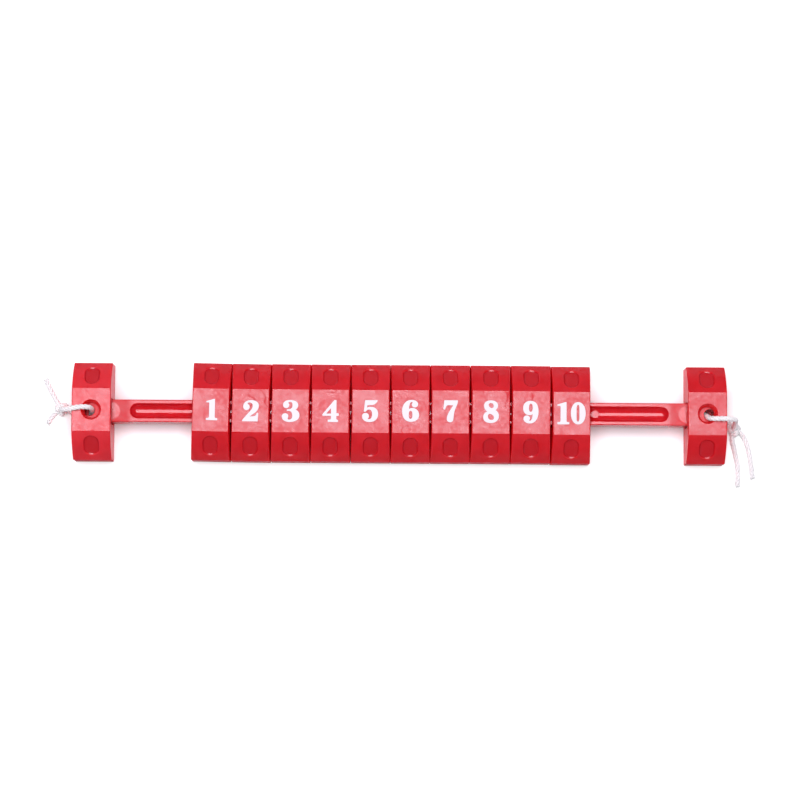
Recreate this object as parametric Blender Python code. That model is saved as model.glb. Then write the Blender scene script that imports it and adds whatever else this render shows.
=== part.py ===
"""Row counter for knitting: ten numbered beads that slide on a bar between two end blocks.

Each end block has a hole with a short tie cord knotted through it. The counter lies on its
back on the plane z = 0. X runs along the bar with bead 1 at the -X end, Y runs across the
beads with the top of the numerals at +Y, and Z points out of the numbered faces. The origin
is below the middle of the bar. Every size below is in metres.
"""

import math

import bmesh
import bpy
from mathutils import Matrix, Vector

MM = 0.001

# Whole counter
LENGTH = 180.0 * MM
WIDTH = 26.9 * MM
HEIGHT = 13.5 * MM

# The profile that blocks and beads share: flat back, straight walls, round shoulders, flat face
WALL_TOP = 7.3 * MM
FACE_WIDTH = 11.8 * MM
SHOULDER_CENTRE_Z = -1.5 * MM
SHOULDER_STEPS = 5

# Bar
BAR_WIDTH = 6.2 * MM
BAR_LOW = 4.0 * MM
BAR_HIGH = 10.4 * MM
BAR_HALF_LENGTH = 88.2 * MM
BAR_AXIS_Z = (BAR_LOW + BAR_HIGH) / 2
GROOVE_WIDTH = 4.0 * MM
GROOVE_DEPTH = 1.6 * MM
GROOVE_HALF_LENGTH = 74.2 * MM
GROOVE_SIDES = 16

# End blocks
BLOCK_LENGTH = 10.7 * MM
BLOCK_INNER = LENGTH / 2 - BLOCK_LENGTH
BLOCK_MIDDLE = LENGTH / 2 - BLOCK_LENGTH / 2
SOCKET_CLEAR = 0.4 * MM
SOCKET_END_CLEAR = 0.3 * MM
HOLE_AT = 84.7 * MM
HOLE_RADIUS = 1.6 * MM
RIM_RADIUS = 2.75 * MM
RIM_FLOOR_RADIUS = 2.0 * MM
CHANNEL_WIDTH = 2.3 * MM
CHANNEL_DEPTH = 2.1 * MM
HOLE_SIDES = 24

# Beads: narrower at the face than at the base, because the sides are drafted
BEAD_BASE_LENGTH = 10.64 * MM
BEAD_FACE_LENGTH = 10.3 * MM
# Where each bead rests along the bar, in millimetres: not quite evenly
BEAD_PLACES = (-51.92, -40.94, -30.0, -18.98, -7.945, 3.015, 13.99, 25.09, 36.23, 47.39)
BEAD_LIFT = 0.4 * MM
BEAD_CLEAR = 0.3 * MM

# Finger dimples on the shoulders
DIMPLE_LENGTH = 6.8 * MM
DIMPLE_WIDTH = 4.65 * MM
DIMPLE_FLOOR_INSET = 0.5 * MM
DIMPLE_DEPTH = 0.8 * MM
DIMPLE_Y = 9.8 * MM
DIMPLE_ROUND_STEPS = 6

# Tie cords
CORD_DIAMETER = 1.4 * MM
CORD_SPACING = 1.6 * MM
KNOT_RADIUS = 1.7 * MM
KNOT_CLEAR = 0.3 * MM
# Routes in millimetres, as (outward from the middle, across, up): from the end of the first
# tail, through the knot, over the face, down the hole, along the channel in the back, through
# the knot again and to the end of the second tail.
LEFT_ROUTE = [
    (98.5, 9.2, 0.8), (97.6, 7.3, 0.8), (96.6, 5.4, 0.85), (95.5, 3.5, 1.1), (94.5, 1.9, 1.6),
    (93.9, 1.0, 2.5), (93.45, 0.6, 4.2), (93.1, 0.35, 6.6), (92.9, 0.15, 9.0),
    (92.6, 0.05, 11.3), (91.9, 0.05, 13.1), (90.5, 0.15, 14.35), (88.8, 0.4, 14.75),
    (87.0, 0.65, 14.65), (85.5, 0.6, 13.9), (84.8, 0.45, 12.4), (84.7, 0.3, 10.4),
    (84.75, 0.15, 7.8), (84.75, 0.05, 5.4), (84.65, 0.0, 3.6), (85.25, 0.0, 1.85),
    (86.9, 0.0, 0.9), (88.6, 0.0, 0.8), (90.6, 0.05, 0.85), (92.3, 0.4, 1.2),
    (93.6, 0.75, 1.55), (94.9, 0.5, 1.35), (96.0, -0.3, 0.95), (96.9, -1.4, 0.8),
    (97.7, -2.8, 0.8),
]
LEFT_KNOT = (93.9, 1.1, 1.75)
RIGHT_ROUTE = [
    (94.3, -19.0, 0.8), (94.4, -16.4, 0.8), (94.3, -13.8, 0.8), (93.9, -11.2, 0.8),
    (93.4, -8.8, 0.85), (92.9, -6.7, 1.05), (92.8, -5.0, 1.5), (93.0, -3.6, 2.6),
    (93.1, -2.6, 4.3), (93.0, -2.1, 6.6), (92.85, -1.8, 9.0), (92.6, -1.6, 11.3),
    (91.9, -1.5, 13.1), (90.5, -1.45, 14.35), (88.8, -1.42, 14.75), (87.0, -1.4, 14.65),
    (85.8, -1.3, 13.9), (85.1, -1.05, 12.4), (84.95, -0.6, 10.5), (84.85, -0.25, 8.2),
    (84.75, 0.0, 5.4), (84.65, 0.0, 3.6), (85.25, 0.0, 1.85), (86.9, 0.0, 0.9),
    (88.6, 0.0, 0.8), (90.3, -0.2, 0.85), (91.7, -1.3, 1.2), (93.2, -3.0, 1.6),
    (94.7, -4.1, 1.4), (96.0, -5.5, 0.95), (96.9, -7.6, 0.8), (97.5, -9.9, 0.8),
    (97.9, -12.3, 0.8), (98.2, -14.7, 0.8), (98.4, -16.8, 0.8),
]
RIGHT_KNOT = (93.2, -3.5, 1.75)

RED = (0.597, 0.011, 0.017, 1.0)
WHITE = (0.83, 0.82, 0.80, 1.0)


def clear_scene():
    for thing in list(bpy.data.objects):
        bpy.data.objects.remove(thing, do_unlink=True)


def material(name, colour, roughness):
    made = bpy.data.materials.new(name)
    made.use_nodes = True
    shader = made.node_tree.nodes["Principled BSDF"]
    shader.inputs["Base Color"].default_value = colour
    shader.inputs["Roughness"].default_value = roughness
    shader.inputs["Metallic"].default_value = 0.0
    made.diffuse_color = colour
    return made


def add_mesh(name, points, faces, centre=(0, 0, 0)):
    """An object whose origin is at centre, from points in world coordinates."""
    mesh = bpy.data.meshes.new(name)
    mesh.from_pydata([Vector(p) - Vector(centre) for p in points], [], faces)
    body = bmesh.new()
    body.from_mesh(mesh)
    bmesh.ops.recalc_face_normals(body, faces=body.faces)
    body.to_mesh(mesh)
    body.free()
    made = bpy.data.objects.new(name, mesh)
    made.location = centre
    bpy.context.scene.collection.objects.link(made)
    return made


def loft(name, rings, centre=(0, 0, 0), caps=None):
    """A closed solid through rings of equally many points.

    Each end is one flat cap, or the flat caps whose corners are listed by their place in a ring.
    """
    count = len(rings[0])
    points = [p for ring in rings for p in ring]
    last = (len(rings) - 1) * count
    caps = caps or [tuple(range(count))]
    faces = [tuple(start + i for i in cap) for start in (0, last) for cap in caps]
    for start in range(0, last, count):
        for i in range(count):
            j = (i + 1) % count
            faces.append((start + i, start + j, start + count + j, start + count + i))
    return add_mesh(name, points, faces, centre)


def box(name, low, high, centre=(0, 0, 0)):
    corners = [(low[1], low[2]), (high[1], low[2]), (high[1], high[2]), (low[1], high[2])]
    return loft(name, [[(x, y, z) for y, z in corners] for x in (low[0], high[0])], centre)


def cone(name, at, low, high, low_radius, high_radius):
    """A round solid about a vertical line through at, from low to high."""
    rings = []
    for z, radius in ((low, low_radius), (high, high_radius)):
        turns = [2 * math.pi * i / HOLE_SIDES for i in range(HOLE_SIDES)]
        rings.append(
            [(at[0] + radius * math.cos(t), at[1] + radius * math.sin(t), z) for t in turns]
        )
    return loft(name, rings)


def cut(body, cutter):
    """Take the cutter's shape out of the body, and keep the cutter as a hidden guide."""
    cutter.hide_render = True
    cutter.display_type = "WIRE"
    taken = body.modifiers.new(cutter.name, "BOOLEAN")
    taken.operation = "DIFFERENCE"
    taken.object = cutter
    taken.solver = "EXACT"


def profile(base):
    """The outline of a block or bead across the bar, as (y, z), anticlockwise from the back."""
    half, face = WIDTH / 2, FACE_WIDTH / 2
    wall_angle = math.atan2(WALL_TOP - SHOULDER_CENTRE_Z, half)
    face_angle = math.atan2(HEIGHT - SHOULDER_CENTRE_Z, face)
    wall_radius = math.hypot(WALL_TOP - SHOULDER_CENTRE_Z, half)
    face_radius = math.hypot(HEIGHT - SHOULDER_CENTRE_Z, face)
    right = [(half, base)]
    for i in range(SHOULDER_STEPS + 1):
        share = i / SHOULDER_STEPS
        angle = wall_angle + (face_angle - wall_angle) * share
        radius = wall_radius + (face_radius - wall_radius) * share
        right.append(
            (radius * math.cos(angle), SHOULDER_CENTRE_Z + radius * math.sin(angle))
        )
    return right + [(-y, z) for y, z in reversed(right)]


def shoulder_frame(side):
    """The middle of a dimple on the round shoulder, and the directions out of and up it."""
    radius = math.hypot(WALL_TOP - SHOULDER_CENTRE_Z, WIDTH / 2)
    out = math.asin(DIMPLE_Y / radius)
    normal = Vector((0, side * math.sin(out), math.cos(out)))
    middle = Vector((0, 0, SHOULDER_CENTRE_Z)) + radius * normal
    along = Vector((0, side * math.cos(out), -math.sin(out)))
    return middle, normal, along


def stadium(length, width):
    """A slot outline with round ends, longer along its first axis."""
    reach, radius = (length - width) / 2, width / 2
    turns = [math.pi * i / DIMPLE_ROUND_STEPS - math.pi / 2 for i in range(DIMPLE_ROUND_STEPS + 1)]
    end = [(reach + radius * math.cos(t), radius * math.sin(t)) for t in turns]
    return end + [(-a, -b) for a, b in end]


def dimple(name, x, side):
    """The cutter of one finger dimple, tapered towards its floor."""
    middle, normal, along = shoulder_frame(side)
    middle = middle + Vector((x, 0, 0))
    across = Vector((1, 0, 0))
    slope = DIMPLE_FLOOR_INSET / DIMPLE_DEPTH
    rings = []
    for height in (-DIMPLE_DEPTH, DIMPLE_DEPTH):
        grow = 2 * slope * height
        outline = stadium(DIMPLE_LENGTH + grow, DIMPLE_WIDTH + grow)
        rings.append([middle + a * along + b * across + height * normal for a, b in outline])
    return loft(name, rings)


def cut_dimples(body, x):
    for side, word in ((1, "upper"), (-1, "lower")):
        cut(body, dimple(f"{body.name}_{word}_dimple_cut", x, side))


def groove_cutter(name, up):
    """A long rod with ball ends that lies in the bar's face, up for the top one."""
    half = GROOVE_WIDTH / 2
    radius = (half**2 + GROOVE_DEPTH**2) / (2 * GROOVE_DEPTH)
    surface = BAR_HIGH if up else BAR_LOW
    centre_z = surface + (radius - GROOVE_DEPTH) * (1 if up else -1)
    straight = GROOVE_HALF_LENGTH - half
    steps = GROOVE_SIDES // 2
    rings = []
    for end in (-1, 1):
        order = range(1, steps // 2 + 1)
        for i in order if end < 0 else reversed(order):
            tip = math.pi * i / steps
            x = end * (straight + radius * math.cos(tip))
            ring_radius = radius * math.sin(tip)
            rings.append([
                (
                    x,
                    ring_radius * math.cos(2 * math.pi * k / GROOVE_SIDES),
                    centre_z + ring_radius * math.sin(2 * math.pi * k / GROOVE_SIDES),
                )
                for k in range(GROOVE_SIDES)
            ])
    return loft(name, rings)


def make_bar(red):
    half = BAR_WIDTH / 2
    bar = box("bar", (-BAR_HALF_LENGTH, -half, BAR_LOW), (BAR_HALF_LENGTH, half, BAR_HIGH))
    bar.data.materials.append(red)
    for up in (True, False):
        cut(bar, groove_cutter(f"bar_groove_cut_{'top' if up else 'back'}", up))
    for side in (-1, 1):
        hole = cone(
            f"bar_hole_cut_{'right' if side > 0 else 'left'}",
            (side * HOLE_AT, 0),
            BAR_LOW - MM,
            BAR_HIGH + MM,
            HOLE_RADIUS,
            HOLE_RADIUS,
        )
        cut(bar, hole)
    return bar


def make_end_block(name, side, red):
    outer, inner = side * LENGTH / 2, side * BLOCK_INNER
    centre = (side * BLOCK_MIDDLE, 0, 0)
    outline = profile(0)
    block = loft(name, [[(x, y, z) for y, z in outline] for x in sorted((inner, outer))], centre)
    block.data.materials.append(red)
    half = BAR_WIDTH / 2 + SOCKET_CLEAR
    deep = side * (BAR_HALF_LENGTH + SOCKET_END_CLEAR)
    span = sorted((inner - side * MM, deep))
    low, high = BAR_LOW - SOCKET_CLEAR, BAR_HIGH + SOCKET_CLEAR
    cut(block, box(f"{name}_socket_cut", (span[0], -half, low), (span[1], half, high)))
    # The rim's cone is carried on a little above the face at the same slope
    rise = 0.5 * MM
    slope = (RIM_RADIUS - RIM_FLOOR_RADIUS) / (HEIGHT - high)
    at = (side * HOLE_AT, 0)
    low_radius = RIM_FLOOR_RADIUS - slope * rise
    high_radius = RIM_RADIUS + slope * rise
    cut(block, cone(f"{name}_rim_cut", at, high - rise, HEIGHT + rise, low_radius, high_radius))
    cut(block, cone(f"{name}_back_hole_cut", at, -MM, low + rise, HOLE_RADIUS, HOLE_RADIUS))
    reach = sorted((side * HOLE_AT, outer + side * MM))
    wide = CHANNEL_WIDTH / 2
    cut(
        block,
        box(f"{name}_channel_cut", (reach[0], -wide, -MM), (reach[1], wide, CHANNEL_DEPTH)),
    )
    cut_dimples(block, side * BLOCK_MIDDLE)
    return block


def make_bead(number, red):
    name = f"bead_{number:02d}"
    x = BEAD_PLACES[number - 1] * MM
    outline = profile(BEAD_LIFT)
    rings = []
    for end in (-1, 1):
        ring = []
        for y, z in outline:
            share = max(0.0, (z - WALL_TOP) / (HEIGHT - WALL_TOP))
            length = BEAD_BASE_LENGTH + (BEAD_FACE_LENGTH - BEAD_BASE_LENGTH) * share
            ring.append((x + end * length / 2, y, z))
        rings.append(ring)
    # The sides are upright below the shoulders and drafted above, so each has two flat faces
    last = len(outline) - 1
    caps = [(0, 1, last - 1, last), tuple(range(1, last))]
    bead = loft(name, rings, (x, 0, BAR_AXIS_Z), caps)
    bead.data.materials.append(red)
    half = BAR_WIDTH / 2 + BEAD_CLEAR
    reach = BEAD_BASE_LENGTH / 2 + MM
    slot = box(
        f"{name}_slot_cut",
        (x - reach, -half, BAR_LOW - BEAD_CLEAR),
        (x + reach, half, BAR_HIGH + BEAD_CLEAR),
    )
    cut(bead, slot)
    cut_dimples(bead, x)
    return bead


def smooth_line(route, side):
    """Points close together on a smooth curve through a route, in world coordinates."""
    given = [Vector((side * u, y, z)) * MM for u, y, z in route]
    padded = [2 * given[0] - given[1], *given, 2 * given[-1] - given[-2]]
    fine = []
    for a, b, c, d in zip(padded, padded[1:], padded[2:], padded[3:]):
        for step in range(20):
            t = step / 20
            fine.append(
                0.5 * (2 * b + (c - a) * t + (2 * a - 5 * b + 4 * c - d) * t**2
                       + (3 * b - a - 3 * c + d) * t**3)
            )
    return fine + [given[-1]]


def spaced(line, spacing):
    """The line again with its points evenly spaced, about that far apart."""
    lengths = [0.0]
    for a, b in zip(line, line[1:]):
        lengths.append(lengths[-1] + (b - a).length)
    count = max(2, round(lengths[-1] / spacing) + 1)
    out, i = [], 0
    for k in range(count):
        want = lengths[-1] * k / (count - 1)
        while i < len(line) - 2 and lengths[i + 1] < want:
            i += 1
        share = (want - lengths[i]) / (lengths[i + 1] - lengths[i])
        out.append(line[i].lerp(line[i + 1], min(max(share, 0.0), 1.0)))
    return out


def stretches(line, centre, radius):
    """The parts of the line that lie outside a ball, in order."""
    parts, part = [], []
    for point in line:
        if (point - centre).length > radius:
            part.append(point)
        elif part:
            parts.append(part)
            part = []
    return parts + [part] if part else parts


def tube(name, line, white):
    points = spaced(line, CORD_SPACING)
    curve = bpy.data.curves.new(name, "CURVE")
    curve.dimensions = "3D"
    curve.bevel_depth = CORD_DIAMETER / 2
    curve.bevel_resolution = 2
    curve.use_fill_caps = True
    spline = curve.splines.new("POLY")
    spline.points.add(len(points) - 1)
    for slot, point in zip(spline.points, points):
        slot.co = (*point, 1.0)
    made = bpy.data.objects.new(name, curve)
    bpy.context.scene.collection.objects.link(made)
    made.data.materials.append(white)
    return made


def make_knot(name, centre, white):
    body = bmesh.new()
    bmesh.ops.create_icosphere(body, subdivisions=2, radius=KNOT_RADIUS)
    mesh = bpy.data.meshes.new(name)
    body.to_mesh(mesh)
    body.free()
    mesh.shade_smooth()
    made = bpy.data.objects.new(name, mesh)
    made.location = centre
    bpy.context.scene.collection.objects.link(made)
    made.data.materials.append(white)
    return made


def make_tie_cord(word, side, route, knot, white):
    centre = Vector((side * knot[0], knot[1], knot[2])) * MM
    made = [make_knot(f"knot_{word}", centre, white)]
    parts = stretches(smooth_line(route, side), centre, KNOT_RADIUS + KNOT_CLEAR)
    names = (f"cord_tail_{word}_a", f"cord_loop_{word}", f"cord_tail_{word}_b")
    made += [tube(name, line, white) for name, line in zip(names, parts, strict=True)]
    return made


def main():
    clear_scene()
    red_bar = material("bar_plastic", RED, 0.35)
    red_block = material("block_plastic", RED, 0.35)
    red_bead = material("bead_plastic", RED, 0.35)
    white = material("cord_fibre", WHITE, 0.8)
    pieces = [make_bar(red_bar)]
    pieces += [make_end_block("end_block_left", -1, red_block)]
    pieces += [make_end_block("end_block_right", 1, red_block)]
    pieces += [make_bead(number, red_bead) for number in range(1, len(BEAD_PLACES) + 1)]
    pieces += make_tie_cord("left", -1, LEFT_ROUTE, LEFT_KNOT, white)
    pieces += make_tie_cord("right", 1, RIGHT_ROUTE, RIGHT_KNOT, white)
    counter = bpy.data.objects.new("row_counter", None)
    bpy.context.scene.collection.objects.link(counter)
    for piece in pieces:
        piece.parent = counter
        piece.matrix_parent_inverse = Matrix.Identity(4)


main()
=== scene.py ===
"""The looks of the row counter: ten numbered beads on a bar between two end blocks, each
block with a white tie cord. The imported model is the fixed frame; X runs along the bar, Y across
the beads towards the top of the numerals, and Z out of the numbered faces. Metres throughout.
"""

import math
import random

import bmesh
import bpy
from mathutils import Euler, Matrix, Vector


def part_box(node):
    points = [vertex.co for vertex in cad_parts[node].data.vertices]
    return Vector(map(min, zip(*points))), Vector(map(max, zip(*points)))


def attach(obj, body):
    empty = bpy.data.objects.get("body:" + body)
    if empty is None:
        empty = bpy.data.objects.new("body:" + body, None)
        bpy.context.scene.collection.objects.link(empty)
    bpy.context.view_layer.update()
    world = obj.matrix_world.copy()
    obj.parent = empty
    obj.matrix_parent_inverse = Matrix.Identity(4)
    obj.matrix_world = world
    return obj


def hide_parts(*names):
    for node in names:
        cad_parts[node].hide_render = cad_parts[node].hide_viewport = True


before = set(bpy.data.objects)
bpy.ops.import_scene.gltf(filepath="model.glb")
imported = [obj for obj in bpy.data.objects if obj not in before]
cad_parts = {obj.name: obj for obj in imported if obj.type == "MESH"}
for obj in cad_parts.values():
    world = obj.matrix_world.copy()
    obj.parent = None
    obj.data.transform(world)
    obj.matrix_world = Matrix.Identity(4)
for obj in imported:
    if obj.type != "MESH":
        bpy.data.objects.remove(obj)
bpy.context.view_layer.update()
MM = 0.001
BEADS = [f"bead_{number:02d}" for number in range(1, 11)]

# Sizes read from the frame
BAR_LOW, BAR_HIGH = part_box("bar")
BLOCK_LOW, BLOCK_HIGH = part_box("end_block_right")
BEAD_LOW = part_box(BEADS[0])[0]
ROW_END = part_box(BEADS[-1])[1].x
HALF_WIDTH = BLOCK_HIGH.y
HEIGHT = BLOCK_HIGH.z
BLOCK_MIDDLE = (BLOCK_LOW.x + BLOCK_HIGH.x) / 2

# The profile that blocks and beads share
WALL_TOP = 7.3 * MM
HALF_FACE = 5.9 * MM
CENTRE_Z = (HALF_FACE**2 + HEIGHT**2 - HALF_WIDTH**2 - WALL_TOP**2) / (2 * (HEIGHT - WALL_TOP))
SHOULDER_RADIUS = math.hypot(HALF_WIDTH, WALL_TOP - CENTRE_Z)
FOOT_ROUND = 0.3 * MM
CREASE_ROUND = 0.25 * MM
FACE_ROUND = 0.22 * MM
END_ROUND = 0.25 * MM
FOOT_STEPS, CREASE_STEPS, SHOULDER_STEPS, FACE_STEPS, END_STEPS = 4, 3, 14, 4, 4
STATIONS = [-1 + k / 6 for k in range(13)]

# Beads are drafted above their walls. They nearly touch, each a little askew on the bar.
BEAD_BASE_HALF = 5.49 * MM
BEAD_FACE_HALF = 5.17 * MM
BEAD_TOUCH = 0.02 * MM
BEAD_SKEWS = {1: -1.0, 2: -0.6, 3: -0.35, 4: -0.25, 8: -0.2, 9: -0.25}
BEAD_DRIFTS = {1: 0.12, 10: -0.15}
SLOT_CLEAR = 0.3 * MM
SLOT_ROUND = 0.5 * MM
SLOT_MOUTH_TURNS = (0, 0.39, 0.79, 1.18, 1.5)

# Dimples
DIMPLE_LENGTH = 6.5 * MM
DIMPLE_WIDTH = 4.35 * MM
DIMPLE_DEPTH = 0.6 * MM
DIMPLE_WALL_WIDTH = 0.55 * MM
DIMPLE_WALL_STEPS = 12
DIMPLE_TURN = 0.25
DIMPLE_RIM_OUT = 0.1 * MM
DIMPLE_LEVEL_OUT = 0.3 * MM
DIMPLE_Y = 9.87 * MM
FLOOR_CURVE = 0.85

# Holes, sockets and grooves
HOLE_AT = 84.7 * MM
RIM_RADIUS = 2.75 * MM
RIM_FLOOR_RADIUS = 2.0 * MM
HOLE_RADIUS = 1.6 * MM
BAR_HOLE_RADIUS = 1.5 * MM
BAR_HOLE_OUT = 0.7 * MM
SOCKET_CLEAR = 0.4 * MM
CHANNEL_WIDTH = 2.3 * MM
CHANNEL_DEPTH = 2.1 * MM
GROOVE_HALF_WIDTH = 2.0 * MM
GROOVE_DEPTH = 1.6 * MM
GROOVE_HALF_LENGTH = 74.2 * MM
GROOVE_STEPS, GROOVE_END_STEPS = 9, 12
PIN_MARK_X = 53.95 * MM
PIN_MARK_DEPTH = 0.95 * MM
# The pin mark, a disc with a ring in its top: (radius, height from its top) in millimetres
PIN_MARK_PROFILE = [
    (1.15, -0.8), (1.07, -0.05), (1.03, 0), (0.93, 0), (0.55, 0), (0.48, 0), (0.44, -0.05),
    (0.34, -0.05), (0.3, 0), (0.22, 0),
]
EJECTOR_RADIUS = 2.4 * MM
EJECTOR_DEPTH = 0.15 * MM
BAR_ROUND = 0.3 * MM
BAR_BEVEL = 0.15 * MM
LIP = 0.02 * MM

# Tie cords: the same routes as the CAD solids, in millimetres (outward, across, up)
LEFT_ROUTE = [
    (98.5, 9.2, 0.8), (97.6, 7.3, 0.8), (96.6, 5.4, 0.85), (95.5, 3.5, 1.1), (94.5, 1.9, 1.6),
    (93.9, 1.0, 2.5), (93.45, 0.6, 4.2), (93.1, 0.35, 6.6), (92.9, 0.15, 9.0),
    (92.6, 0.05, 11.3), (91.9, 0.05, 13.1), (90.5, 0.15, 14.35), (88.8, 0.4, 14.75),
    (87.0, 0.65, 14.65), (85.5, 0.6, 13.9), (84.8, 0.45, 12.4), (84.7, 0.3, 10.4),
    (84.75, 0.15, 7.8), (84.75, 0.05, 5.4), (84.65, 0.0, 3.6), (85.25, 0.0, 1.85),
    (86.9, 0.0, 0.9), (88.6, 0.0, 0.8), (90.6, 0.05, 0.85), (92.3, 0.4, 1.2),
    (93.6, 0.75, 1.55), (94.9, 0.5, 1.35), (96.0, -0.3, 0.95), (96.9, -1.4, 0.8),
    (97.7, -2.8, 0.8),
]
RIGHT_ROUTE = [
    (94.3, -19.0, 0.8), (94.4, -16.4, 0.8), (94.3, -13.8, 0.8), (93.9, -11.2, 0.8),
    (93.4, -8.8, 0.85), (92.9, -6.7, 1.05), (92.8, -5.0, 1.5), (93.0, -3.6, 2.6),
    (93.1, -2.6, 4.3), (93.0, -2.1, 6.6), (92.85, -1.8, 9.0), (92.6, -1.6, 11.3),
    (91.9, -1.5, 13.1), (90.5, -1.45, 14.35), (88.8, -1.42, 14.75), (87.0, -1.4, 14.65),
    (85.8, -1.3, 13.9), (85.1, -1.05, 12.4), (84.95, -0.6, 10.5), (84.85, -0.25, 8.2),
    (84.75, 0.0, 5.4), (84.65, 0.0, 3.6), (85.25, 0.0, 1.85), (86.9, 0.0, 0.9),
    (88.6, 0.0, 0.8), (90.3, -0.2, 0.85), (91.7, -1.3, 1.2), (93.2, -3.0, 1.6),
    (94.7, -4.1, 1.4), (96.0, -5.5, 0.95), (96.9, -7.6, 0.8), (97.5, -9.9, 0.8),
    (97.9, -12.3, 0.8), (98.2, -14.7, 0.8), (98.4, -16.8, 0.8),
]

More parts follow.
